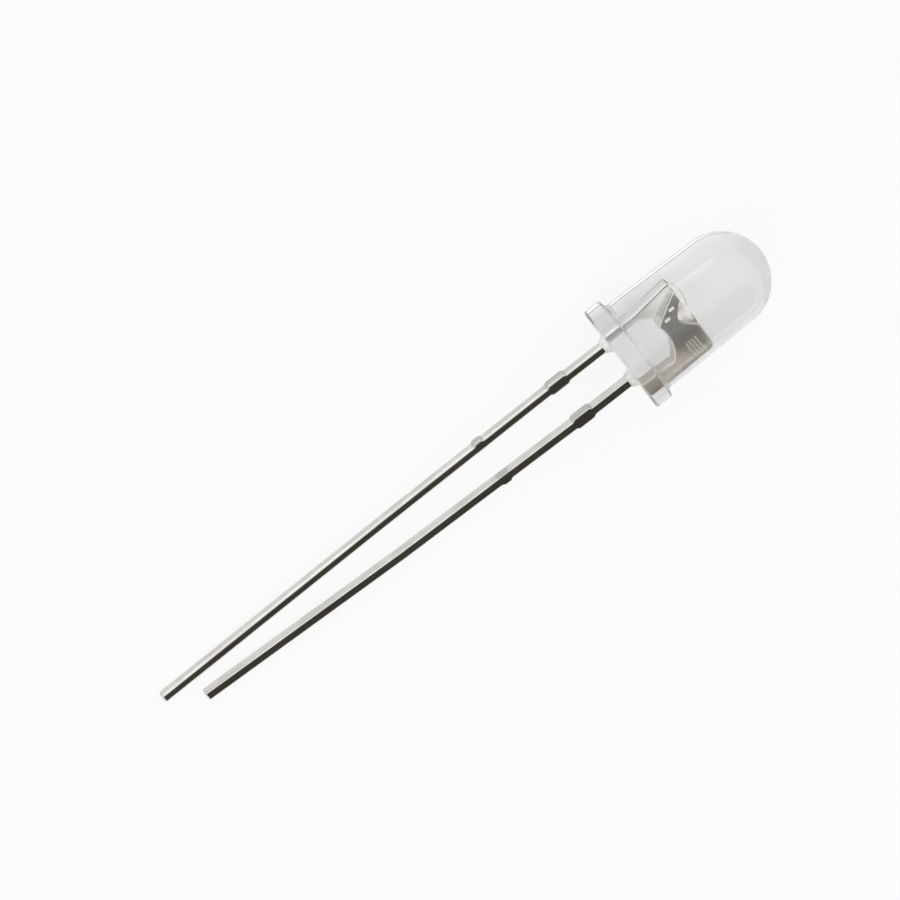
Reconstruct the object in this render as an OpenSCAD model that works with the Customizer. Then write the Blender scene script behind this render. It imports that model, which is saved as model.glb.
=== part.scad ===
// Clear through hole LED, lying on the rim of its flange and the tips of both leads.
// In the LED's own axes x is square to the lead sheet, y runs from anode to cathode and z from leads to dome.

/* [Lens] */
// Barrel diameter just above the flange, mm
lens_d = 5.0; // [4.7:0.05:5.3]
// Height from the underside of the flange to the tip of the dome, mm
lens_h = 8.6; // [7.8:0.1:9.6]
// Straight seat of the barrel above the flange, mm
barrel_land = 1.2; // [0.6:0.1:2]
// Draft of the barrel above its seat, degrees
draft_angle = 1.2; // [0.4:0.1:2]

/* [Flange] */
// Flange diameter, mm
flange_d = 5.8; // [5.6:0.05:6.2]
// Flange thickness, mm
flange_h = 1.0; // [0.7:0.05:1.4]
// Radius on the edges of the flange, mm
flange_edge = 0.1; // [0.05:0.01:0.2]
// Distance of the cathode flat from the axis, mm
flat_offset = 2.55; // [2.4:0.05:2.75]
// How far the resin creeps down each lead, mm
creep_h = 0.3; // [0.1:0.05:0.5]
// Width of the resin fillet at the flange, mm
creep_d = 1.05; // [0.9:0.05:1.3]

/* [Leads] */
// Distance between the two leads at the flange, mm
lead_pitch = 2.54; // [2.3:0.02:2.8]
// Width of a lead in the sheet, mm
lead_w = 0.5; // [0.4:0.02:0.56]
// Thickness of the lead sheet, mm
lead_t = 0.5; // [0.4:0.02:0.56]
// Anode lead below the flange, mm
anode_len = 27.3; // [26.5:0.1:29]
// Cathode lead below the flange, mm
cathode_len = 25.6; // [24.5:0.1:27]
// How far the tip of the anode lead is bent inwards, mm
anode_lean = 0.3; // [0:0.05:0.6]
// How far the tip of the cathode lead is bent inwards, mm
cathode_lean = 0.75; // [0:0.05:1.2]
// Distance below the flange where the bent leads turn a little more, mm
bow_at = 14; // [11:0.5:16]
// Share of the inward bend that is reached there
bow_share = 0.3; // [0.2:0.05:0.6]

/* [Stand-offs] */
// Upper stand-off: distance of its top below the flange, mm
stop_at = 2.45; // [2.2:0.05:3.2]
// Upper stand-off: length, mm
stop_len = 1.2; // [0.8:0.05:1.6]
// Lower stand-off: distance of its top below the flange, mm
bar_at = 7.5; // [6:0.1:9]
// Lower stand-off: length, mm
bar_len = 0.65; // [0.5:0.05:1]
// How far the stand-offs jut out of a lead, mm
stop_out = 0.1; // [0.05:0.01:0.2]
// Length of the slope at each end of a stand-off, mm
stop_slope = 0.15; // [0.05:0.01:0.2]

/* [Lead frame in the lens] */
// Height of the anvil's and the post's tops above the underside of the flange, mm
frame_top = 4.05; // [3.8:0.05:4.5]
// Reach of the anvil past the axis towards the post, mm
anvil_reach = 1.15; // [1:0.05:1.2]
// Lower inner corner of the anvil, from the axis towards the post, mm
anvil_toe = 0.26; // [0.15:0.01:0.35]
// Radius of the arch under the anvil, mm
arch_r = 0.95; // [0.85:0.05:1.05]
// Height of the arch's crown, mm
arch_top = 2.5; // [2.3:0.05:2.6]
// Set-back of the anvil's outer corner from the outer edge of the lead, mm
anvil_taper = 0.06; // [0:0.01:0.15]
// Chamfer on the anvil's top corners, mm
corner_cut = 0.12; // [0.05:0.01:0.2]
// Distance of the post's outer edge from the axis, mm
post_out = 1.85; // [1.75:0.01:1.95]
// Width of the post's top, mm
post_w = 0.4; // [0.3:0.02:0.44]
// Gap between the post and the foot of the anvil, mm
frame_gap = 0.4; // [0.3:0.02:0.5]
// Height where the post leaves its stem, mm
post_foot = 1.85; // [1.6:0.05:2.1]

/* [Reflector cup] */
// Outer diameter of the cup, mm
cup_d = 1.48; // [1.36:0.02:1.6]
// Mouth diameter of the cup, mm
cup_mouth = 1.2; // [1.1:0.02:1.24]
// Floor diameter of the cup, mm
cup_floor = 0.66; // [0.58:0.02:0.76]
// Depth of the cup, mm
cup_depth = 0.42; // [0.36:0.02:0.46]

/* [Chip and bond wire] */
// Chip width, mm
die_w = 0.3; // [0.24:0.01:0.34]
// Chip height, mm
die_h = 0.14; // [0.1:0.01:0.2]
// Adhesive under the chip, mm
glue_t = 0.02; // [0.01:0.005:0.03]
// Height of the adhesive's fillet round the chip, mm
glue_h = 0.06; // [0.04:0.005:0.09]
// Wire diameter, mm
wire_d = 0.03; // [0.025:0.005:0.05]
// Height of the wire's loop above the post, mm
loop_h = 0.26; // [0.15:0.01:0.4]
// Diameter of the ball on the chip, mm
ball_d = 0.09; // [0.08:0.01:0.12]
// Height of the ball, mm
ball_h = 0.03; // [0.02:0.005:0.05]

/* [Hidden] */
$fn = 96;

flange_r = flange_d / 2;
lens_r = lens_d / 2;
land_top = flange_h + barrel_land;
// The dome's sphere meets the drafted barrel where their slopes agree
dome_r = (lens_r - (lens_h - land_top) * tan(draft_angle)) / (1 / cos(draft_angle) - tan(draft_angle));
dome_z = lens_h - dome_r;
seam_r = dome_r * cos(draft_angle);
seam_z = dome_z + dome_r * sin(draft_angle);

lead_y = lead_pitch / 2;
lead_in = lead_y - lead_w / 2;
lead_out = lead_y + lead_w / 2;
stop_end = stop_at + stop_len;
// How deep a stand-off is rooted in its lead and a lead in the flange, and how far a cut runs past what it cuts
sunk = 0.02;
root = 0.3;
past = 1;
// Least wall of the resin fillet round a lead's corners
creep_wall = 0.03;

// Run of the arch from the lead to its centre, and drop of the anvil's toe below the arch's crown
arch_run = 0.82;
toe_drop = 0.12;
arch_z = arch_top - arch_r;
arch_y = lead_in - arch_run;
toe_z = arch_top - toe_drop;
cup_r = cup_d / 2;
floor_z = frame_top - cup_depth;
die_z = floor_z + glue_t;
die_top = die_z + die_h;
// The adhesive reaches past the chip's corners
glue_share = 0.75;
glue_r = die_w * glue_share;
stitch_y = -post_out + post_w / 2;
stitch_h = wire_d;

// The flange's rim and the lowest corners of both tips lie on one level: rest_slope is the tangent of the
// axis's tilt, and the roll about the axis grows with it because the leads differ in length
len_gap = anode_len - cathode_len;
anode_corner = (len_gap < 0 ? lead_out : lead_in) - anode_lean;
cathode_corner = (len_gap < 0 ? lead_in : lead_out) - cathode_lean;
roll_rate = len_gap / (anode_corner + cathode_corner);
rest_drop = anode_len + flange_edge - anode_corner * roll_rate;
function rest_slope(x, tries) =
    tries == 0 ? x
    : rest_slope((flange_r - flange_edge * (1 - sqrt(1 + x * x))
        - lead_t / 2 * sqrt(1 - pow(roll_rate * x, 2))) / rest_drop, tries - 1);
slope = rest_slope(0, 6);
rest_tilt = atan(slope);
rest_roll = asin(roll_rate * slope);

// Route of the wire in the sheet's middle plane, as [y, z], with two pull points above the loop
pull_over = 0.1;
pull_z = frame_top + loop_h + pull_over;
pull_share = 0.7;
route = [
    [0, die_top + ball_h],
    [0, pull_z],
    [stitch_y * pull_share, pull_z],
    [stitch_y, frame_top + stitch_h / 2]
];
rings = 24;
function route_at(s) =
    pow(1 - s, 3) * route[0] + 3 * pow(1 - s, 2) * s * route[1]
    + 3 * (1 - s) * s * s * route[2] + pow(s, 3) * route[3];
function unit(v) = v / norm(v);
function area_of(points) =
    [for (i = [0 : len(points) - 1]) cross(points[i], points[(i + 1) % len(points)])]
    * [for (p = points) 0.5];
function on_side(side, points) = anticlockwise([for (p = points) [side * p[0], p[1]]]);
function anticlockwise(points) =
    area_of(points) > 0 ? points : [for (i = [len(points) - 1 : -1 : 0]) points[i]];
function heading(i) = unit(route_at((i + 1) / rings) - route_at(i / rings));
function along(i) =
    i == 0 ? [0, 1]
    : i == rings ? heading(rings - 1)
    : unit(heading(i - 1) + heading(i));

// Turns the LED's own axes into its resting pose
module at_rest() {
    rotate([180, -90 - rest_tilt, 0]) rotate([0, 0, rest_roll]) children();
}

// A shape drawn in the lead sheet, x from anode to cathode and y towards the dome
module sheet() {
    rotate([90, 0, 90])
        linear_extrude(height = lead_t, center = true) children();
}

// Half section of the lens, turned about the axis
module lens_section() {
    difference() {
        union() {
            square([flange_r - flange_edge, flange_h]);
            translate([0, flange_edge]) square([flange_r, flange_h - 2 * flange_edge]);
            for (z = [flange_edge, flange_h - flange_edge])
                translate([flange_r - flange_edge, z]) circle(flange_edge);
            polygon([
                [0, flange_h / 2], [lens_r, flange_h / 2], [lens_r, land_top],
                [seam_r, seam_z], [0, seam_z]
            ]);
            translate([0, dome_z]) circle(dome_r);
        }
        translate([-2 * flange_d, -flange_d]) square([2 * flange_d, 4 * lens_h]);
    }
}

// One lead below the flange: its bend, the upper stops on both edges and the lower stop on the outer edge
module lead_shape(side, len, lean) {
    mid = lean * bow_share;
    polygon(on_side(side, [
        [lead_in, root], [lead_out, root], [lead_out, -stop_end], [lead_out - mid, -bow_at],
        [lead_out - lean, -len], [lead_in - lean, -len], [lead_in - mid, -bow_at], [lead_in, -stop_end]
    ]));
    shift = mid * (bar_at + bar_len / 2 - stop_end) / (bow_at - stop_end);
    bump(side, lead_y, 1, stop_at, stop_len);
    bump(side, lead_y, -1, stop_at, stop_len);
    bump(side, lead_y - shift, 1, bar_at, bar_len);
}

// A stop with sloped ends that juts out of a lead's outer edge, way 1, or its inner edge, way -1
module bump(side, middle, way, from, len) {
    back = middle + way * (lead_w / 2 - sunk);
    edge = middle + way * (lead_w / 2 + stop_out);
    polygon(on_side(side, [
        [middle, -from], [back, -from], [edge, -from - stop_slope],
        [edge, -from - len + stop_slope], [back, -from - len], [middle, -from - len]
    ]));
}

module anvil_shape() {
    toe_run = (anvil_reach - anvil_toe) / (frame_top - corner_cut - toe_z);
    difference() {
        polygon(anticlockwise([
            [lead_in, 0], [lead_out, 0], [lead_out, flange_h],
            [lead_out - anvil_taper, frame_top - corner_cut],
            [lead_out - anvil_taper - corner_cut, frame_top],
            [-anvil_reach + corner_cut, frame_top],
            [-anvil_reach, frame_top - corner_cut],
            [-anvil_toe + toe_run * (toe_z - arch_z), arch_z],
            [lead_in, arch_z]
        ]));
        intersection() {
            translate([arch_y, arch_z]) circle(arch_r);
            translate([lead_in - 2 * arch_r, 0]) square([2 * arch_r, frame_top]);
        }
        translate([lead_in - 2 * arch_r, -past]) square([2 * arch_r, arch_z + past]);
    }
}

module post_shape() {
    foot_y = -anvil_toe - frame_gap;
    polygon(anticlockwise([
        [-lead_in, 0], [-lead_in, post_foot], [foot_y, arch_top],
        [-post_out + post_w, frame_top], [-post_out, frame_top],
        [-post_out, frame_top - post_w / 2], [-lead_out, post_foot], [-lead_out, 0]
    ]));
}

module cathode_lead() {
    color([0.74, 0.74, 0.72]) at_rest() difference() {
        union() {
            sheet() {
                lead_shape(1, cathode_len, cathode_lean);
                anvil_shape();
            }
            intersection() {
                translate([0, 0, frame_top]) sphere(cup_r);
                translate([0, 0, frame_top - cup_d]) cylinder(d = 2 * cup_d, h = cup_d);
            }
        }
        translate([0, 0, floor_z])
            cylinder(d1 = cup_floor, d2 = cup_mouth, h = cup_depth);
    }
}

module anode_lead() {
    color([0.74, 0.74, 0.72]) at_rest() sheet() {
        lead_shape(-1, anode_len, anode_lean);
        post_shape();
    }
}

module led_die() {
    color([0.35, 0.33, 0.36]) at_rest()
        translate([-die_w / 2, -die_w / 2, die_z]) cube([die_w, die_w, die_h]);
}

module die_attach() {
    color([0.66, 0.66, 0.64]) at_rest() difference() {
        translate([0, 0, floor_z]) cylinder(r1 = glue_r + glue_h / 2, r2 = glue_r, h = glue_h);
        translate([-die_w / 2, -die_w / 2, die_z]) cube([die_w, die_w, die_h]);
    }
}

module bond_wire() {
    sides = 8;
    ring = [for (i = [0 : rings]) let (
        c = route_at(i / rings),
        d = along(i),
        bend = i == 0 || i == rings ? 1 : heading(i) * d
    ) for (k = [0 : sides - 1]) let (
        a = 360 * (k + 0.5) / sides,
        n = wire_d / 2 * cos(a) / bend
    ) [wire_d / 2 * sin(a), c[0] + d[1] * n, c[1] - d[0] * n]];
    skin = concat(
        [[for (k = [0 : sides - 1]) k]],
        [for (i = [0 : rings - 1], k = [0 : sides - 1]) let (
            a = i * sides + k, b = i * sides + (k + 1) % sides
        ) [a, a + sides, b + sides, b]],
        [[for (k = [sides - 1 : -1 : 0]) rings * sides + k]]
    );
    color([0.85, 0.66, 0.25]) at_rest() {
        polyhedron(ring, skin);
        translate([0, 0, die_top]) cylinder(d = ball_d, h = ball_h);
        translate([0, stitch_y, frame_top]) cylinder(d = 3 * wire_d, h = stitch_h);
    }
}

module lens() {
    color([0.88, 0.9, 0.92, 0.45]) difference() {
        at_rest() difference() {
            union() {
                rotate_extrude() lens_section();
                for (y = [-lead_y, lead_y])
                    translate([0, y, -creep_h])
                        cylinder(d1 = norm([lead_w, lead_t]) + 2 * creep_wall, d2 = creep_d, h = creep_h);
            }
            translate([-flange_d, flat_offset, -past])
                cube([2 * flange_d, flange_d, flange_h + past]);
        }
        cathode_lead();
        anode_lead();
        led_die();
        die_attach();
        bond_wire();
    }
}

lens();
cathode_lead();
anode_lead();
led_die();
die_attach();
bond_wire();
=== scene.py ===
import math
import bmesh
import bpy
from mathutils import Matrix, Vector


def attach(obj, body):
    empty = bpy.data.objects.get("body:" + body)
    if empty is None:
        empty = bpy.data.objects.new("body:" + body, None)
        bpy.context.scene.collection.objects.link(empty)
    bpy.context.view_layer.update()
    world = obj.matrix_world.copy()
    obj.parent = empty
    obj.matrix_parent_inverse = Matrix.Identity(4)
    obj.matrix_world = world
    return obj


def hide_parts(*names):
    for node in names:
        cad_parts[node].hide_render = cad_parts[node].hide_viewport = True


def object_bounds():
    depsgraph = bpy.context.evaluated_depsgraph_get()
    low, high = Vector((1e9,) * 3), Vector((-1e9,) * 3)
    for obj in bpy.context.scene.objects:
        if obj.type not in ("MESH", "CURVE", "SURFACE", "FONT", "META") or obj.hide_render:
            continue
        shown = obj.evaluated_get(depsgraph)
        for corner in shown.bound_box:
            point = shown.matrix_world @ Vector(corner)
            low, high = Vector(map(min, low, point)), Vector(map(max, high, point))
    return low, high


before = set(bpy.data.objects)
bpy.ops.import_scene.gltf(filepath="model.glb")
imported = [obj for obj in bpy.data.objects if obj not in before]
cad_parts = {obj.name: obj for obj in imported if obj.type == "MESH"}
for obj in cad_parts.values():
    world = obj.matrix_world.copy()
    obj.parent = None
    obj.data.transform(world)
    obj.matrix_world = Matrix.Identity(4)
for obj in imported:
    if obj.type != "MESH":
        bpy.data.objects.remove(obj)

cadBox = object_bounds()
print("frame loaded,", len(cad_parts), "nodes")

# The LED's own axes, in mm: x square to the lead sheet, y from anode to cathode, z from leads to dome
rest = {"tilt": 5.698362, "roll": 6.537182}  # how it lies on its rim and both tips, in degrees
mm = 0.001
tilt = math.radians(rest["tilt"])
roll = math.radians(rest["roll"])
level = Vector((-math.sin(tilt), 0, math.cos(tilt)))
across = Vector((0, -1, 0))
sheetUp = math.cos(roll) * level + math.sin(roll) * across
toCathode = math.cos(roll) * across - math.sin(roll) * level
toDome = Vector((math.cos(tilt), 0, math.sin(tilt)))
ledAxes = Matrix((sheetUp, toCathode, toDome))  # row frame to LED axes
toRow = Matrix.Scale(mm, 4) @ ledAxes.transposed().to_4x4()
floorZ = cadBox[0].z


# Nodes

def feed(tree, value, socket):
    if isinstance(value, bpy.types.NodeSocket):
        tree.links.new(value, socket)
    else:
        socket.default_value = value


def addNode(tree, kind, settings=None, **values):
    node = tree.nodes.new(kind)
    for key, value in (settings or {}).items():
        setattr(node, key, value)
    for key, value in values.items():
        feed(tree, value, node.inputs[key.replace("_", " ")])
    return node


def calc(tree, operation, *values):
    node = tree.nodes.new("ShaderNodeMath")
    node.operation = operation
    for i, value in enumerate(values):
        feed(tree, value, node.inputs[i])
    return node.outputs[0]


def mapRange(tree, value, low, high, outLow, outHigh, smooth=False):
    node = addNode(tree, "ShaderNodeMapRange", {"interpolation_type": "SMOOTHSTEP" if smooth else "LINEAR"})
    for i, part in enumerate((value, low, high, outLow, outHigh)):
        feed(tree, part, node.inputs[i])
    return node.outputs[0]


def mixColour(tree, factor, first, second):
    node = addNode(tree, "ShaderNodeMix", {"data_type": "RGBA"})
    feed(tree, factor, node.inputs[0])
    feed(tree, first, node.inputs[6])  # 6 and 7 are the colour sockets
    feed(tree, second, node.inputs[7])
    return node.outputs[2]


def newGroup(name, kind, inputs, outputs):
    tree = bpy.data.node_groups.new(name, kind)
    for label, socket, value in inputs:
        item = tree.interface.new_socket(label, in_out="INPUT", socket_type="NodeSocket" + socket)
        if value is not None:
            item.default_value = value
    for label, socket in outputs:
        tree.interface.new_socket(label, in_out="OUTPUT", socket_type="NodeSocket" + socket)
    return tree, tree.nodes.new("NodeGroupInput").outputs, tree.nodes.new("NodeGroupOutput").inputs


# Every geometry tree ends as one real mesh with its material
def endTree(tree, shape, material, result):
    whole = addNode(tree, "GeometryNodeRealizeInstances", Geometry=shape)
    dressed = addNode(tree, "GeometryNodeSetMaterial", Geometry=whole.outputs[0], Material=material)
    tree.links.new(dressed.outputs[0], result[0])
    return tree


# Meshes

def newPiece(name, points=(), faces=()):
    mesh = bpy.data.meshes.new(name)
    mesh.from_pydata([Vector(point) for point in points], [], faces)
    piece = bpy.data.objects.new(name, mesh)
    bpy.context.scene.collection.objects.link(piece)
    return piece


def flatten(piece):
    graph = bpy.context.evaluated_depsgraph_get()
    mesh = bpy.data.meshes.new_from_object(piece.evaluated_get(graph), depsgraph=graph)
    piece.modifiers.clear()
    piece.data = mesh
    mesh.name = piece.name


def runTree(piece, tree, values):
    modifier = piece.modifiers.new(tree.name, "NODES")
    modifier.node_group = tree
    for item in tree.interface.items_tree:
        if item.item_type == "SOCKET" and item.in_out == "INPUT" and item.name in values:
            modifier[item.identifier] = values[item.name]
    flatten(piece)
    return piece


def combine(piece, operation, *others):
    for other in others:
        modifier = piece.modifiers.new("combine", "BOOLEAN")
        modifier.operation = operation
        modifier.solver = "EXACT"
        modifier.object = other
    flatten(piece)
    for other in others:
        bpy.data.objects.remove(other)


def roundEdges(piece, width, segments, angle):
    bevel = piece.modifiers.new("edges", "BEVEL")
    bevel.width = width
    bevel.segments = segments
    bevel.limit_method = "ANGLE"
    bevel.angle_limit = math.radians(angle)
    flatten(piece)


# Puts a finished piece in its place; edges steeper than the angle stay sharp
def settle(piece, node, angle):
    mesh = piece.data
    mesh.transform(toRow)
    mesh.shade_smooth()
    mesh.set_sharp_from_angle(angle=math.radians(angle))
    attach(piece, "root")
    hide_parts(node)
    print(piece.name, len(mesh.polygons), "faces")


def arc(centre, radius, start, end, steps):
    turns = [math.radians(start + (end - start) * i / steps) for i in range(steps + 1)]
    return [(centre[0] + radius * math.cos(turn), centre[1] + radius * math.sin(turn)) for turn in turns]


def sharesOf(steps):
    return [i / steps for i in range(steps + 1)]


# Turns a row of points, x as radius and z as height, about the z axis
turning = {"segments": 96, "rimR": 2.9, "flat": 99, "flatEase": 0.4, "weld": 0.0005}  # 99 is no flat


def makeTurnedTree(size):
    tree, given, result = newGroup("turnedProfile", "GeometryNodeTree", [
        ("Profile", "Geometry", None), ("Segments", "Int", size["segments"]),
        ("Rim Radius", "Float", size["rimR"]), ("Flat Offset", "Float", size["flat"]),
        ("Flat Ease", "Float", size["flatEase"]), ("Material", "Material", None)
    ], [("Mesh", "Geometry")])
    points = addNode(tree, "GeometryNodeAttributeDomainSize", Geometry=given["Profile"])
    count = points.outputs["Point Count"]
    columns = calc(tree, "ADD", given["Segments"], 1)
    grid = addNode(tree, "GeometryNodeMeshGrid", Vertices_X=count, Vertices_Y=columns)
    index = tree.nodes.new("GeometryNodeInputIndex").outputs[0]
    row = calc(tree, "FLOOR", calc(tree, "DIVIDE", calc(tree, "ADD", index, 0.5), columns))
    column = calc(tree, "SUBTRACT", index, calc(tree, "MULTIPLY", row, columns))
    turn = calc(tree, "MULTIPLY", calc(tree, "DIVIDE", column, given["Segments"]), -2 * math.pi)
    sample = addNode(tree, "GeometryNodeSampleIndex", {"data_type": "FLOAT_VECTOR"},
                     Geometry=given["Profile"])
    tree.links.new(tree.nodes.new("GeometryNodeInputPosition").outputs[0], sample.inputs[1])
    tree.links.new(row, sample.inputs[2])
    point = addNode(tree, "ShaderNodeSeparateXYZ", Vector=sample.outputs[0]).outputs
    radius, height = point[0], point[2]
    x = calc(tree, "MULTIPLY", radius, calc(tree, "COSINE", turn))
    y = calc(tree, "MULTIPLY", radius, calc(tree, "SINE", turn))
    # the flat is pressed into the rim only, with its edges eased
    inset = calc(tree, "MULTIPLY", calc(tree, "SUBTRACT", given["Rim Radius"], radius), given["Flat Ease"])
    flatAt = calc(tree, "SUBTRACT", given["Flat Offset"], inset)
    over = calc(tree, "MAXIMUM", calc(tree, "SUBTRACT", y, flatAt), 0)
    onRim = calc(tree, "GREATER_THAN", radius, given["Flat Offset"])
    flatY = calc(tree, "SUBTRACT", y, calc(tree, "MULTIPLY", over, onRim))
    place = addNode(tree, "ShaderNodeCombineXYZ", X=x, Y=flatY, Z=height).outputs[0]
    moved = addNode(tree, "GeometryNodeSetPosition", Geometry=grid.outputs["Mesh"], Position=place)
    welded = addNode(tree, "GeometryNodeMergeByDistance", Geometry=moved.outputs[0], Distance=size["weld"])
    return endTree(tree, welded.outputs[0], given["Material"], result)


turnedTree = makeTurnedTree(turning)


def turned(name, profile, values):
    return runTree(newPiece(name, [(radius, 0, z) for radius, z in profile]), turnedTree, values)


# Shared surface effects; their coordinates are in mm along the LED's axes
mottle = {"scale": 2, "contrast": 0.3, "span": (0.2, 0.8), "detail": 4, "finer": 14, "grainDetail": 3}
drawing = {"fineness": 12, "length": 3, "detail": 3, "nickScale": 2.6, "nickEdge": (0.03, 0.14)}
noiseSpan = (0.3, 0.7)  # most of a noise lies between these


def makeMottle(look):
    tree, given, result = newGroup("fineMottle", "ShaderNodeTree", [
        ("Vector", "Vector", None), ("Scale", "Float", look["scale"]),
        ("Contrast", "Float", look["contrast"])
    ], [("Cloud", "Float"), ("Grain", "Float")])
    cloud = addNode(tree, "ShaderNodeTexNoise", Vector=given["Vector"], Scale=given["Scale"],
                    Detail=look["detail"])
    half = calc(tree, "MULTIPLY", given["Contrast"], 0.5)
    low = calc(tree, "ADD", look["span"][0], half)
    high = calc(tree, "SUBTRACT", look["span"][1], half)
    tree.links.new(mapRange(tree, cloud.outputs[0], low, high, 0, 1), result["Cloud"])
    fine = calc(tree, "MULTIPLY", given["Scale"], look["finer"])
    grain = addNode(tree, "ShaderNodeTexNoise", Vector=given["Vector"], Scale=fine,
                    Detail=look["grainDetail"])
    tree.links.new(grain.outputs[0], result["Grain"])
    return tree


def makeDrawnLines(look):
    tree, given, result = newGroup("drawnLines", "ShaderNodeTree", [
        ("Vector", "Vector", None), ("Fineness", "Float", look["fineness"]),
        ("Length", "Float", look["length"])
    ], [("Lines", "Float"), ("Nicks", "Float")])
    part = addNode(tree, "ShaderNodeSeparateXYZ", Vector=given["Vector"]).outputs
    wide = [calc(tree, "MULTIPLY", side, given["Fineness"]) for side in part[:2]]
    along = calc(tree, "DIVIDE", part[2], given["Length"])
    stretched = addNode(tree, "ShaderNodeCombineXYZ", X=wide[0], Y=wide[1], Z=along).outputs[0]
    lines = addNode(tree, "ShaderNodeTexNoise", Vector=stretched, Scale=1, Detail=look["detail"])
    tree.links.new(lines.outputs[0], result["Lines"])
    nicks = addNode(tree, "ShaderNodeTexVoronoi", {"feature": "F1"}, Vector=given["Vector"],
                    Scale=look["nickScale"])
    tree.links.new(mapRange(tree, nicks.outputs[0], *look["nickEdge"], 1, 0), result["Nicks"])
    return tree


fineMottle = makeMottle(mottle)
drawnLines = makeDrawnLines(drawing)


def placeGroup(tree, group, **values):
    node = tree.nodes.new("ShaderNodeGroup")
    node.node_tree = group
    for key, value in values.items():
        feed(tree, value, node.inputs[key])
    return node.outputs


def newMaterial(name):
    material = bpy.data.materials.new(name)
    material.use_nodes = True
    tree = material.node_tree
    where = tree.nodes.new("ShaderNodeTexCoord").outputs["Object"]
    mapping = addNode(tree, "ShaderNodeMapping", Vector=where, Rotation=ledAxes.to_euler("XYZ"),
                      Scale=[1 / mm] * 3)
    return material, tree, tree.nodes["Principled BSDF"].inputs, mapping.outputs[0]


def addBump(tree, sockets, height, look):
    bump = addNode(tree, "ShaderNodeBump", Height=height, Strength=look["bump"],
                   Distance=look["bumpDepth"] * mm)
    tree.links.new(bump.outputs[0], sockets["Normal"])


# A finish with clouds in its colour and grain in its gloss
def makeMottled(name, look):
    material, tree, sockets, where = newMaterial(name)
    film = placeGroup(tree, fineMottle, Vector=where, Scale=look["scale"], Contrast=look["contrast"])
    tree.links.new(mixColour(tree, film["Cloud"], look["tone"], look["clouded"]), sockets["Base Color"])
    sockets["Metallic"].default_value = look["metallic"]
    tree.links.new(mapRange(tree, film["Grain"], *noiseSpan, *look["rough"]), sockets["Roughness"])
    addBump(tree, sockets, film["Grain"], look)
    return material


# Lens: one closed skin of clear resin, with the metal cast inside it
lens = {
    "barrelR": 2.5, "height": 8.6, "land": 1.2, "draft": 1.2, "flangeR": 2.9, "flangeH": 1.0, "edge": 0.18,
    "foot": 0.2, "flat": 2.55, "underRings": (0.8, 1.6, 2.2), "rimHold": 0.02, "footHold": 0.03,
    "landHold": 0.05, "segments": 256, "edgeSteps": 6, "footSteps": 5, "domeSteps": 56, "smooth": 40
}
lensLook = {
    "tint": (0.93, 0.935, 0.935, 1), "hazeTint": (0.89, 0.895, 0.9, 1), "hazeScale": 0.7, "contrast": 0.4,
    "gloss": 0.02, "smudge": 0.06, "ior": 1.53, "clear": 0.92, "bump": 0.04, "bumpDepth": 0.002
}


def makeClearEpoxy(look):
    material, tree, sockets, where = newMaterial("clearEpoxy")
    haze = placeGroup(tree, fineMottle, Vector=where, Scale=look["hazeScale"], Contrast=look["contrast"])
    tree.links.new(mixColour(tree, haze["Cloud"], look["tint"], look["hazeTint"]), sockets["Base Color"])
    tree.links.new(mapRange(tree, haze["Cloud"], 0, 1, look["gloss"], look["smudge"]), sockets["Roughness"])
    sockets["IOR"].default_value = look["ior"]
    sockets["Transmission Weight"].default_value = look["clear"]
    addBump(tree, sockets, haze["Grain"], look)
    return material


# From the middle of the underside to the top of the dome; the holds keep faces flat beside a rounding
def lensProfile(size):
    barrelR, flangeH, edge, foot = [size[key] for key in ("barrelR", "flangeH", "edge", "foot")]
    slope = math.radians(size["draft"])
    landTop = flangeH + size["land"]
    drawnIn = (size["height"] - landTop) * math.tan(slope)
    domeR = (barrelR - drawnIn) / (1 / math.cos(slope) - math.tan(slope))
    rimR = size["flangeR"] - edge
    holdR = rimR - size["rimHold"]
    under = [(radius, 0) for radius in (0, *size["underRings"], holdR)]
    rim = arc((rimR, edge), edge, -90, 0, size["edgeSteps"])
    rim += arc((rimR, flangeH - edge), edge, 0, 90, size["edgeSteps"])
    step = [(holdR, flangeH)] + arc((barrelR + foot, flangeH + foot), foot, 270, 180, size["footSteps"])
    wall = [(barrelR, z) for z in (flangeH + foot + size["footHold"], landTop - size["landHold"], landTop)]
    dome = arc((0, size["height"] - domeR), domeR, size["draft"], 90, size["domeSteps"])
    return under + rim + step + wall + dome


lensPiece = turned("lensShell", lensProfile(lens), {
    "Segments": lens["segments"], "Rim Radius": lens["flangeR"], "Flat Offset": lens["flat"],
    "Material": makeClearEpoxy(lensLook)
})
settle(lensPiece, "lens", lens["smooth"])


# Collars: resin that crept down the leads and set cloudy
collar = {
    "pitch": 2.54, "height": 0.3, "top": 0.53, "tip": 0.37, "flare": 2.2, "core": 0.1, "overlap": 0.02,
    "steps": 10, "segments": 64, "smooth": 40
}
collarLook = {
    "tone": (0.9, 0.895, 0.87, 1), "clouded": (0.8, 0.79, 0.76, 1), "scale": 4, "contrast": 0.5,
    "metallic": 0, "rough": (0.2, 0.4), "bump": 0.2, "bumpDepth": 0.01
}


def makeCollars(size):
    tip, spread, height = size["tip"], size["top"] - size["tip"], size["height"]
    shares = sharesOf(size["steps"])
    curve = [(tip + spread * share ** size["flare"], height * (share - 1)) for share in shares]
    lid = [(size["top"], size["overlap"]), (0, size["overlap"])]
    profile = [(0, -height), (size["core"], -height)] + curve + lid
    milky = makeMottled("cloudyEpoxy", collarLook)
    pair = []
    for side in (-1, 1):
        piece = turned("collar", profile, {"Segments": size["segments"], "Material": milky})
        piece.data.transform(Matrix.Translation((0, side * size["pitch"] / 2, 0)))
        pair.append(piece)
    pair[0].name = "leadCollars"
    combine(pair[0], "UNION", pair[1])
    return pair[0]


settle(makeCollars(collar), "lens", collar["smooth"])


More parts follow.
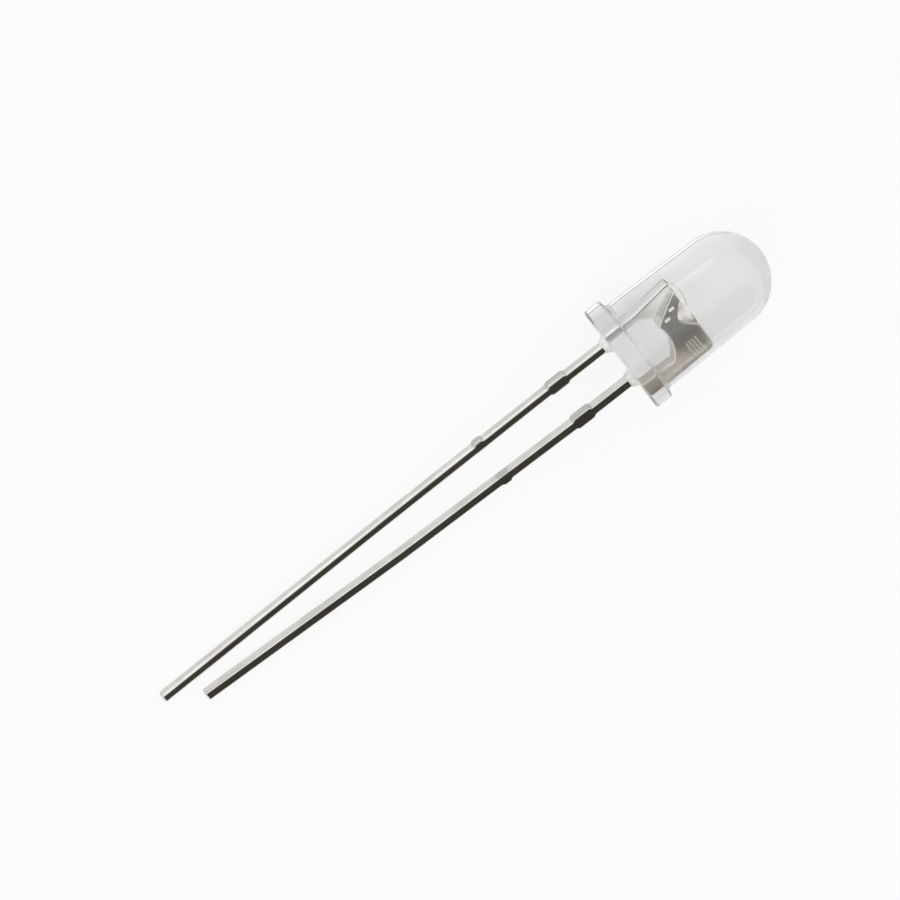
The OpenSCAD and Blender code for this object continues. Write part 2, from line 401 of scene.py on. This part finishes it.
# Leads: sheet metal with the stand-offs, the anvil and the post in its outline
lead = {
    "pitch": collar["pitch"], "width": 0.5, "thick": 0.5, "bowAt": 14, "bowShare": 0.3, "stopAt": 2.45,
    "stopLen": 1.2, "barAt": 7.5, "barLen": 0.65, "out": 0.1, "slope": 0.15, "frameTop": 4.05,
    "roundSteps": 5, "roundAngle": 40, "smooth": 27
}
cathode = {
    "length": 25.6, "lean": 0.75, "reach": 1.15, "toe": 0.26, "archR": 0.95, "archTop": 2.5, "archRun": 0.82,
    "archSteps": 16, "taper": 0.06, "corner": 0.12, "round": 0.09, "satin": (0.19, 0.28)
}
anode = {
    "length": 27.3, "lean": 0.3, "postOut": 1.85, "postW": 0.4, "foot": 1.85, "gap": 0.4, "round": 0.13,
    "satin": (0.34, 0.36)
}
leadLook = {
    "tin": (0.75, 0.74, 0.71, 1), "tarnish": (0.57, 0.56, 0.53, 1), "nick": (0.4, 0.38, 0.33, 1),
    "silver": (0.86, 0.85, 0.83, 1), "warm": (0.63, 0.58, 0.52, 1), "pressed": (0.46, 0.45, 0.43, 1),
    "tarnishScale": 0.8, "contrast": 0.5, "fineness": 14, "length": 2.5, "freshAt": 0.3,
    "streakSpan": (0.3, 0.65), "streakShare": (0.3, 1), "dullShare": (0.55, 1), "nickShare": 0.35,
    "heatSpan": (-0.6, 1.6), "rough": (0.08, 0.16), "pressedRough": 0.22, "bump": 0.15, "bumpDepth": 0.006
}
leadIn = lead["pitch"] / 2 - lead["width"] / 2
leadOut = lead["pitch"] / 2 + lead["width"] / 2


def makePlatedSteel(name, look, satin):
    material, tree, sockets, where = newMaterial(name)
    lines = placeGroup(tree, drawnLines, Vector=where, Fineness=look["fineness"], Length=look["length"])
    tarnish = placeGroup(tree, fineMottle, Vector=where, Scale=look["tarnishScale"],
                         Contrast=look["contrast"])
    part = addNode(tree, "ShaderNodeSeparateXYZ", Vector=where).outputs
    y, z = part[1], part[2]
    inside = mapRange(tree, z, 0, look["freshAt"], 0, 1)  # the frame in the lens keeps its fresh plating
    streaks = mapRange(tree, lines["Lines"], *look["streakSpan"], *look["streakShare"])
    dulled = calc(tree, "MULTIPLY", streaks, mapRange(tree, tarnish["Cloud"], 0, 1, *look["dullShare"]))
    bare = mixColour(tree, dulled, look["tin"], look["tarnish"])
    scored = mixColour(tree, calc(tree, "MULTIPLY", lines["Nicks"], look["nickShare"]), bare, look["nick"])
    # darker and duller where the stand-offs were pressed
    stops = [(lead["stopAt"], lead["stopLen"]), (lead["barAt"], lead["barLen"])]
    bands = [calc(tree, "COMPARE", z, -at - length / 2, length / 2) for at, length in stops]
    pressed = calc(tree, "MULTIPLY", calc(tree, "MAXIMUM", *bands), streaks)
    outside = mixColour(tree, pressed, scored, look["pressed"])
    # browner towards the cathode's stem
    heat = mapRange(tree, calc(tree, "ADD", y, tarnish["Cloud"]), *look["heatSpan"], 0, 1)
    fresh = mixColour(tree, heat, look["silver"], look["warm"])
    tree.links.new(mixColour(tree, inside, outside, fresh), sockets["Base Color"])
    sockets["Metallic"].default_value = 1
    drawnRough = mapRange(tree, lines["Lines"], *noiseSpan, *look["rough"])
    outerRough = mapRange(tree, pressed, 0, 1, drawnRough, look["pressedRough"])
    innerRough = mapRange(tree, heat, 0, 1, *satin)
    tree.links.new(mapRange(tree, inside, 0, 1, outerRough, innerRough), sockets["Roughness"])
    drawn = calc(tree, "MULTIPLY", lines["Lines"], calc(tree, "SUBTRACT", 1, inside))
    addBump(tree, sockets, drawn, look)
    return material


cathodeSteel = makePlatedSteel("cathodeSteel", leadLook, cathode["satin"])
anodeSteel = makePlatedSteel("anodeSteel", leadLook, anode["satin"])


# Outer edge downwards, tip, inner edge upwards, as distances from the axis
def leadEdges(length, lean):
    stopAt, barAt, bowAt, slope = [lead[key] for key in ("stopAt", "barAt", "bowAt", "slope")]
    stopEnd = stopAt + lead["stopLen"]
    barEnd = barAt + lead["barLen"]
    mid = lean * lead["bowShare"]

    def inset(down):
        return max(0, mid * (down - stopEnd) / (bowAt - stopEnd))

    def stop(base, start, end, way):
        upper = base - inset(start)
        lower = base - inset(end)
        out = way * lead["out"]
        return [(upper, -start), (upper + out, -start - slope), (lower + out, -end + slope), (lower, -end)]

    outer = stop(leadOut, stopAt, stopEnd, 1) + stop(leadOut, barAt, barEnd, 1)
    outer += [(leadOut - mid, -bowAt), (leadOut - lean, -length)]
    inner = [(leadIn - lean, -length), (leadIn - mid, -bowAt)]
    return outer + inner + stop(leadIn, stopAt, stopEnd, -1)[::-1]


def sheetPiece(name, outline, rounding, steel):
    half = lead["thick"] / 2
    count = len(outline)
    points = [(x, y, z) for x in (-half, half) for y, z in outline]
    back = tuple(range(count))[::-1]
    front = tuple(range(count, 2 * count))
    sides = [(i, (i + 1) % count, count + (i + 1) % count, count + i) for i in range(count)]
    piece = newPiece(name, points, [back, front] + sides)
    shape = bmesh.new()
    shape.from_mesh(piece.data)
    bmesh.ops.recalc_face_normals(shape, faces=shape.faces)
    shape.to_mesh(piece.data)
    shape.free()
    piece.data.materials.append(steel)
    roundEdges(piece, rounding, lead["roundSteps"], lead["roundAngle"])
    return piece


def cathodeOutline(size):
    top, cut = lead["frameTop"], size["corner"]
    centre = (leadIn - size["archRun"], size["archTop"] - size["archR"])
    start = math.degrees(math.acos(size["archRun"] / size["archR"]))
    end = 180 - math.degrees(math.acos((size["toe"] + centre[0]) / size["archR"]))
    arch = arc(centre, size["archR"], start, end, size["archSteps"])
    shoulder = leadOut - size["taper"]
    anvil = [(-size["reach"], top - cut), (-size["reach"] + cut, top), (shoulder - cut, top),
             (shoulder, top - cut), (leadOut, lens["flangeH"])]
    return leadEdges(size["length"], size["lean"]) + arch + anvil


def anodeOutline(size):
    top, out, wide = lead["frameTop"], size["postOut"], size["postW"]
    post = [(leadIn, size["foot"]), (cathode["toe"] + size["gap"], cathode["archTop"]), (out - wide, top),
            (out, top), (out, top - wide / 2), (leadOut, size["foot"])]
    return [(-y, z) for y, z in leadEdges(size["length"], size["lean"]) + post]


# Reflector cup in the anvil
cup = {
    "outer": 0.74, "neck": 0.22, "tall": 0.7, "mouth": 0.6, "floor": 0.33, "depth": 0.42, "rim": 0.012,
    "band": 0.03, "lipIn": 0.01, "easeOut": 0.03, "easeUp": 0.02, "cutWider": 0.04, "cutAbove": 0.3,
    "segments": 96
}
cupLook = {
    "tone": (0.96, 0.94, 0.88, 1), "clouded": (0.89, 0.86, 0.79, 1), "scale": 3, "contrast": 0.5,
    "metallic": 1, "rough": (0.45, 0.6), "bump": 0.15, "bumpDepth": 0.003
}
cupFloor = lead["frameTop"] - cup["depth"]


def cupShell(size):
    top, outer, mouth, floor = lead["frameTop"], size["outer"], size["mouth"], size["floor"]
    cone = [(0, top - size["tall"]), (size["neck"], top - size["tall"]), (outer, top - size["band"])]
    lip = [(outer, top + size["rim"]), (mouth + size["lipIn"], top + size["rim"])]
    hollow = [(mouth, top), (floor + size["easeOut"], cupFloor + size["easeUp"]), (floor, cupFloor),
              (0, cupFloor)]
    return turned("cup", cone + lip + hollow, {
        "Segments": size["segments"], "Material": makeMottled("cupSilver", cupLook)
    })


# What is cut from the anvil before the cup is set in
def cupHollow(size):
    low, high, wider = cupFloor - size["cutWider"], lead["frameTop"] + size["cutAbove"], size["cutWider"]
    profile = [(0, low), (size["floor"] + wider, low), (size["mouth"] + wider, high), (0, high)]
    return turned("cupHollow", profile, {"Segments": size["segments"]})


# Coined marks on the anvil's face: key grooves in a row and two notches
marks = {
    "grooves": 4, "grooveY": 1.06, "grooveZ": 2.96, "groovePitch": 0.18, "grooveDepth": 0.035,
    "grooveHalf": 0.05, "grooveLen": 0.5,
    "notches": [(-0.6, 3.42), (-0.32, 2.96)], "notchDepth": 0.05, "notchHalf": 0.09, "notchLen": 0.3
}


# Four-sided bars on edge, set at each point
def makeMarksTree():
    tree, given, result = newGroup("coinedMarks", "GeometryNodeTree", [
        ("Places", "Geometry", None), ("Size", "Vector", (1, 1, 1)), ("Turn", "Rotation", None),
        ("Material", "Material", None)
    ], [("Mesh", "Geometry")])
    bar = addNode(tree, "GeometryNodeMeshCylinder", Vertices=4, Radius=1, Depth=1)
    spread = addNode(tree, "GeometryNodeInstanceOnPoints", Points=given["Places"],
                     Instance=bar.outputs["Mesh"], Rotation=given["Turn"], Scale=given["Size"])
    return endTree(tree, spread.outputs[0], given["Material"], result)


def makeMarks(size):
    tree = makeMarksTree()
    face = lead["thick"] / 2
    rows = [size["grooveZ"] + size["groovePitch"] * i for i in range(size["grooves"])]
    grooves = newPiece("grooves", [(face, size["grooveY"], z) for z in rows])
    notches = newPiece("notches", [(face, y, z) for y, z in size["notches"]])
    runTree(grooves, tree, {
        "Size": (size["grooveDepth"], size["grooveHalf"], size["grooveLen"]), "Turn": (math.pi / 2, 0, 0),
        "Material": cathodeSteel
    })
    runTree(notches, tree, {
        "Size": (size["notchDepth"], size["notchHalf"], size["notchLen"]), "Material": cathodeSteel
    })
    return grooves, notches


cathodePiece = sheetPiece("cathodeLead", cathodeOutline(cathode), cathode["round"], cathodeSteel)
combine(cathodePiece, "DIFFERENCE", cupHollow(cup), *makeMarks(marks))
combine(cathodePiece, "UNION", cupShell(cup))
settle(cathodePiece, "cathode_lead", lead["smooth"])
anodePiece = sheetPiece("anodeLead", anodeOutline(anode), anode["round"], anodeSteel)
settle(anodePiece, "anode_lead", lead["smooth"])


# Chip on its adhesive, on the floor of the cup
chip = {"width": 0.3, "height": 0.14, "edge": 0.012, "edgeSteps": 2, "edgeAngle": 30, "smooth": 35}
chipLook = {
    "tone": (0.16, 0.15, 0.18, 1), "clouded": (0.3, 0.28, 0.3, 1), "scale": 9, "contrast": 0.5,
    "metallic": 0, "rough": (0.18, 0.32), "bump": 0.15, "bumpDepth": 0.002
}
glue = {
    "thick": 0.02, "fillet": 0.06, "radius": 0.225, "toe": 0.03, "lift": 0.001, "steps": 8, "segments": 64,
    "smooth": 40
}
glueLook = {
    "tone": (0.62, 0.62, 0.6, 1), "clouded": (0.8, 0.8, 0.77, 1), "scale": 12, "contrast": 0.6,
    "metallic": 0.6, "rough": (0.3, 0.5), "bump": 0.4, "bumpDepth": 0.004
}
chipTop = cupFloor + glue["thick"] + chip["height"]


def makeChip(size):
    place = Matrix.Translation((0, 0, chipTop - size["height"] / 2))
    stretch = Matrix.Diagonal((size["width"], size["width"], size["height"], 1))
    shape = bmesh.new()
    bmesh.ops.create_cube(shape, size=1, matrix=place @ stretch)
    piece = newPiece("ledChip")
    shape.to_mesh(piece.data)
    shape.free()
    roundEdges(piece, size["edge"], size["edgeSteps"], size["edgeAngle"])
    piece.data.materials.append(makeMottled("chipBody", chipLook))
    return piece


def makeGlue(size):
    radius, toe, fillet = size["radius"], size["toe"], size["fillet"]
    shares = sharesOf(size["steps"])
    rise = [(radius + toe * (1 - share) ** 2, cupFloor + fillet * share) for share in shares]
    profile = [(0, cupFloor + size["lift"])] + rise + [(0, cupFloor + fillet)]
    return turned("chipAdhesive", profile, {
        "Segments": size["segments"], "Material": makeMottled("silverAdhesive", glueLook)
    })


settle(makeChip(chip), "led_die", chip["smooth"])
settle(makeGlue(glue), "die_attach", glue["smooth"])


# Bond wire: a ball on the chip, a loop, and a stitch on the post
wire = {
    "radius": 0.015, "loop": 0.36, "pull": 0.7, "ballR": 0.045, "ballH": 0.03, "ballEdge": 0.012,
    "ballTurn": 60, "ballSteps": 5, "neck": 0.01, "stitchY": -1.65, "stitchWide": 3, "stitchTop": 2.4,
    "stitchEdge": 0.016, "stitchH": 0.03, "segments": 32, "routeSteps": 48, "sides": 12, "smooth": 40
}
wireLook = {
    "gold": (0.9, 0.68, 0.27, 1), "shade": (0.72, 0.5, 0.18, 1), "fineness": 60, "length": 1,
    "rough": (0.12, 0.24)
}


def makeGold(look):
    material, tree, sockets, where = newMaterial("goldWire")
    drawn = placeGroup(tree, drawnLines, Vector=where, Fineness=look["fineness"], Length=look["length"])
    tree.links.new(mixColour(tree, drawn["Lines"], look["gold"], look["shade"]), sockets["Base Color"])
    sockets["Metallic"].default_value = 1
    tree.links.new(mapRange(tree, drawn["Lines"], *noiseSpan, *look["rough"]), sockets["Roughness"])
    return material


def makeWireTree(size):
    origin = (0, 0, 0)
    tree, given, result = newGroup("bondWire", "GeometryNodeTree", [
        ("Mesh", "Geometry", None), ("Start", "Vector", origin), ("Rise", "Vector", origin),
        ("Fall", "Vector", origin), ("End", "Vector", origin), ("Radius", "Float", size["radius"]),
        ("Material", "Material", None)
    ], [("Mesh", "Geometry")])
    route = addNode(tree, "GeometryNodeCurvePrimitiveBezierSegment", {"mode": "POSITION"},
                    Resolution=size["routeSteps"], Start=given["Start"], Start_Handle=given["Rise"],
                    End_Handle=given["Fall"], End=given["End"])
    ring = addNode(tree, "GeometryNodeCurvePrimitiveCircle", Resolution=size["sides"],
                   Radius=given["Radius"])
    tube = addNode(tree, "GeometryNodeCurveToMesh", Curve=route.outputs[0], Profile_Curve=ring.outputs[0],
                   Fill_Caps=True)
    both = tree.nodes.new("GeometryNodeJoinGeometry")
    tree.links.new(tube.outputs[0], both.inputs[0])
    tree.links.new(given["Mesh"], both.inputs[0])
    return endTree(tree, both.outputs[0], given["Material"], result)


def makeWire(size):
    radius, edge, top = size["radius"], size["ballEdge"], lead["frameTop"]
    peak = top + size["loop"]
    ballTop = chipTop + size["ballH"]
    neckTop = ballTop + size["neck"]
    bulge = arc((size["ballR"] - edge, chipTop + edge), edge, -90, size["ballTurn"], size["ballSteps"])
    ball = [(0, chipTop)] + bulge + [(radius, neckTop), (0, neckTop)]
    foot = [(0, top), (size["stitchWide"] * radius, top),
            (size["stitchTop"] * radius, top + size["stitchEdge"]), (0, top + size["stitchH"])]
    piece = turned("bondWire", ball, {"Segments": size["segments"]})
    stitch = turned("stitch", foot, {"Segments": size["segments"]})
    stitch.data.transform(Matrix.Translation((0, size["stitchY"], 0)))
    combine(piece, "UNION", stitch)
    return runTree(piece, makeWireTree(size), {
        "Start": (0, 0, ballTop), "Rise": (0, 0, peak), "Fall": (0, size["stitchY"] * size["pull"], peak),
        "End": (0, size["stitchY"], top + radius), "Radius": radius, "Material": makeGold(wireLook)
    })


settle(makeWire(wire), "bond_wire", wire["smooth"])


# Camera: no perspective to speak of, the LED's axis rises to the right
shot = {
    "turn": 37, "roll": 38, "pxPerMm": 20.8, "seat": (620, 360.5), "size": 900, "distance": 0.5,
    "sensor": 36, "clip": (0.01, 20)
}


def makeCamera(view):
    turn = math.radians(view["turn"])
    lean = math.radians(view["roll"])
    back = math.cos(turn) * sheetUp - math.sin(turn) * toCathode
    side = math.cos(turn) * toCathode + math.sin(turn) * sheetUp
    right = math.cos(lean) * toDome + math.sin(lean) * side
    up = math.sin(lean) * toDome - math.cos(lean) * side
    pixel = mm / view["pxPerMm"]
    half = view["size"] / 2
    middle = (right * (half - view["seat"][0]) - up * (half - view["seat"][1])) * pixel
    data = bpy.data.cameras.new("camera")
    data.sensor_width = view["sensor"]
    data.lens = view["sensor"] * view["distance"] / (view["size"] * pixel)
    data.clip_start, data.clip_end = view["clip"]
    camera = bpy.data.objects.new("camera", data)
    bpy.context.scene.collection.objects.link(camera)
    turnTo = Matrix((right, up, back)).transposed().to_4x4()
    camera.matrix_world = Matrix.Translation(middle + back * view["distance"]) @ turnTo
    bpy.context.scene.camera = camera


makeCamera(shot)
print("camera ready")


# Studio: a white table under a dark ceiling, with white walls and a bright front
white = (1, 1, 1, 1)
studio = {
    "floorSize": 4, "floorTone": (0.9, 0.9, 0.9, 1), "floorShare": 0.86, "throughShare": 0.51,
    "walls": 1.2, "wallTop": (17, 23), "horizon": 0.3, "horizonEnd": 9,
    "ceiling": 0.06, "ceilingTurn": 38, "ceilingCore": 18, "ceilingEnd": 60,
    "ceilingTint": (1, 0.93, 0.78, 1),
    "front": 2.6, "frontUp": -8, "frontCore": 12, "frontEnd": 30, "frontTint": (0.93, 0.96, 1, 1)
}


def makeFloor(look):
    half = look["floorSize"] / 2
    corners = [(-half, -half, floorZ), (half, -half, floorZ), (half, half, floorZ), (-half, half, floorZ)]
    floor = newPiece("floor", corners, [(0, 1, 2, 3)])
    material = bpy.data.materials.new("whiteTable")
    material.use_nodes = True
    tree = material.node_tree
    tree.nodes.clear()
    matt = addNode(tree, "ShaderNodeBsdfDiffuse", Color=look["floorTone"])
    glow = addNode(tree, "ShaderNodeEmission", Color=white, Strength=1)
    path = tree.nodes.new("ShaderNodeLightPath").outputs
    direct = calc(tree, "MAXIMUM", path["Is Camera Ray"], path["Is Glossy Ray"])
    seen = calc(tree, "MULTIPLY", direct, look["floorShare"])
    share = mapRange(tree, path["Is Transmission Ray"], 0, 1, seen, look["throughShare"])
    mix = addNode(tree, "ShaderNodeMixShader", Fac=share)
    tree.links.new(matt.outputs[0], mix.inputs[1])
    tree.links.new(glow.outputs[0], mix.inputs[2])
    tree.links.new(mix.outputs[0], tree.nodes.new("ShaderNodeOutputMaterial").inputs[0])
    floor.data.materials.append(material)


# 1 within the core angle of the aim, 0 past the end angle
def nearness(tree, way, aim, core, end):
    dot = addNode(tree, "ShaderNodeVectorMath", {"operation": "DOT_PRODUCT"})
    tree.links.new(way, dot.inputs[0])
    dot.inputs[1].default_value = aim.normalized()
    angle = calc(tree, "ARCCOSINE", dot.outputs["Value"])
    return mapRange(tree, angle, math.radians(core), math.radians(end), 1, 0, smooth=True)


def makeWorld(look):
    world = bpy.data.worlds.new("studio")
    bpy.context.scene.world = world
    world.use_nodes = True
    tree = world.node_tree
    tree.nodes.clear()
    way = tree.nodes.new("ShaderNodeTexCoord").outputs["Generated"]
    turn = math.radians(look["ceilingTurn"])
    rise = math.radians(look["frontUp"])
    above = math.cos(turn) * sheetUp + math.sin(turn) * toCathode
    ahead = Vector((0, math.cos(rise), math.sin(rise)))
    front = nearness(tree, way, ahead, look["frontCore"], look["frontEnd"])
    height = addNode(tree, "ShaderNodeSeparateXYZ", Vector=way).outputs[2]
    dimTop, low, high = [math.sin(math.radians(angle)) for angle in (look["horizonEnd"], *look["wallTop"])]
    overhead = nearness(tree, way, above, look["ceilingCore"], look["ceilingEnd"])
    ceiling = calc(tree, "MULTIPLY", overhead, mapRange(tree, height, low, high, 0, 1, smooth=True))
    walls = mapRange(tree, height, 0, dimTop, look["horizon"], look["walls"], smooth=True)
    sides = mapRange(tree, front, 0, 1, walls, look["front"])
    light = mapRange(tree, ceiling, 0, 1, sides, look["ceiling"])
    # what the camera sees directly is never dim
    strength = calc(tree, "MAXIMUM", light, tree.nodes.new("ShaderNodeLightPath").outputs["Is Camera Ray"])
    colour = mixColour(tree, ceiling, mixColour(tree, front, white, look["frontTint"]), look["ceilingTint"])
    sky = addNode(tree, "ShaderNodeBackground", Color=colour, Strength=strength)
    tree.links.new(sky.outputs[0], tree.nodes.new("ShaderNodeOutputWorld").inputs[0])


makeFloor(studio)
makeWorld(studio)
print("studio ready")

bpy.context.scene.view_settings.view_transform = "Standard"
